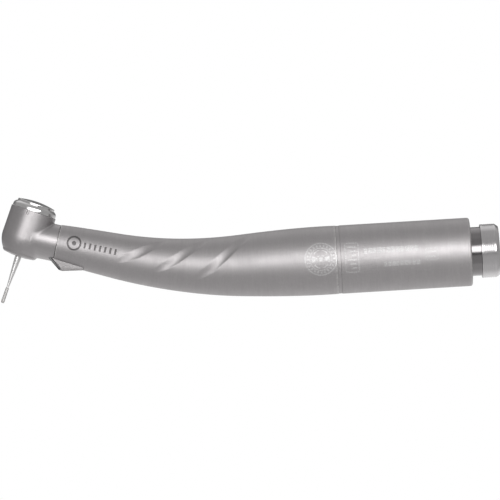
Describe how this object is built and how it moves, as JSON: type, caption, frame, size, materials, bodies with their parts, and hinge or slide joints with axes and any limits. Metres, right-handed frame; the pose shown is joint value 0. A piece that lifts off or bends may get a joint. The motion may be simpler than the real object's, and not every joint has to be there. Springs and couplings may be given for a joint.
{
  "type": "dental high speed handpiece",
  "caption": "Slim angled dental air turbine handpiece: round head with push button chuck and bur, curved satin grip with slanting flutes, under-neck light and threaded multi-port tail.",
  "frame": {"origin": "centre of the tail's flat rear face, where the hose seats", "axes": "+X along the rear part of the handle, out of the tail towards the hose; +Z towards the push button's side; the bur is at -X and points down and forward"},
  "size_m": [0.125, 0.0172, 0.0288],
  "materials": {
    "satin_body": "satin bead blasted",
    "polished": "polished",
    "steel": "turned",
    "bur_steel": "ground, with a diamond coated tip",
    "brass": "turned",
    "rubber": "matt",
    "dark_glass": "gloss",
    "light_housing": "satin",
    "board": "matt",
    "led": "gloss",
    "cage": "satin",
    "ceramic": "polished ceramic",
    "magnet": "plated",
    "copper": "enamelled copper wire",
    "impeller": "machined"
  },
  "bodies": {
    "handpiece": {"back_cap": "polished", "button_spring": "steel", "chip_air_tube": "steel", "drive_air_tube": "steel", "front_bush": "brass", "front_sleeve": "satin_body", "generator_end_cap": "brass", "generator_front_plate": "brass", "generator_housing": "brass", "head_housing": "satin_body", "led_board": "board", "led_chip": "led", "led_housing": "light_housing", "led_lens": "dark_glass", "led_wires": "copper", "lower_bearing_outer": "steel", "lower_suspension_ring": "rubber", "neck_nut": "brass", "rear_bush": "brass", "rear_sleeve": "satin_body", "sleeve_coupler": "satin_body", "stator_coil": "copper", "stator_core": "magnet", "tail_body": "polished", "tail_seal": "rubber", "threaded_collar": "polished", "upper_bearing_outer": "steel", "upper_suspension_ring": "rubber", "water_tube": "steel", "wave_washer": "steel"},
    "turbine": {"spindle": "steel", "impeller": "impeller", "chuck_collet": "steel", "upper_bearing_inner": "steel", "lower_bearing_inner": "steel"},
    "upper_ball_set": {"upper_bearing_cage": "cage", "upper_bearing_balls": "ceramic"},
    "lower_ball_set": {"lower_bearing_cage": "cage", "lower_bearing_balls": "ceramic"},
    "release_pin": {"chuck_release_pin": "steel"},
    "bur": {"bur": "bur_steel"},
    "button": {"push_button": "polished", "button_clip": "steel"},
    "generator_rotor": {"generator_shaft": "steel", "rotor_magnet": "magnet", "generator_impeller": "impeller"}
  },
  "joints": [
    {"name": "turbine_spin", "type": "hinge", "parent": "handpiece", "child": "turbine", "pos_m": [-0.11782, 0, 0.01093], "axis": [0.3827, 0, 0.9239], "continuous": true},
    {"name": "upper_balls_orbit", "type": "hinge", "parent": "handpiece", "child": "upper_ball_set", "pos_m": [-0.1166, 0, 0.01389], "axis": [0.3827, 0, 0.9239], "continuous": true},
    {"name": "lower_balls_orbit", "type": "hinge", "parent": "handpiece", "child": "lower_ball_set", "pos_m": [-0.11901, 0, 0.00807], "axis": [0.3827, 0, 0.9239], "continuous": true},
    {"name": "button_press", "type": "slide", "parent": "handpiece", "child": "button", "axis": [-0.3827, 0, -0.9239], "range_m": [0, 0.0005], "stiffness_N_per_m": 3000, "springref_m": -0.0005, "deforming": ["button_spring"]},
    {"name": "chuck_release", "type": "slide", "parent": "turbine", "child": "release_pin", "axis": [-0.3827, 0, -0.9239], "range_m": [0, 0.0002]},
    {"name": "bur_removal", "type": "slide", "parent": "turbine", "child": "bur", "axis": [-0.3827, 0, -0.9239], "range_m": [0, 0.03]},
    {"name": "generator_spin", "type": "hinge", "parent": "handpiece", "child": "generator_rotor", "pos_m": [0, 0, -0.0029], "axis": [1, 0, 0], "continuous": true}
  ],
  "couplings": [
    {"joint": "upper_balls_orbit", "follows": "turbine_spin", "ratio": 0.395},
    {"joint": "lower_balls_orbit", "follows": "turbine_spin", "ratio": 0.395},
    {"joint": "chuck_release", "follows": "button_press", "ratio": 0.4}
  ]
}
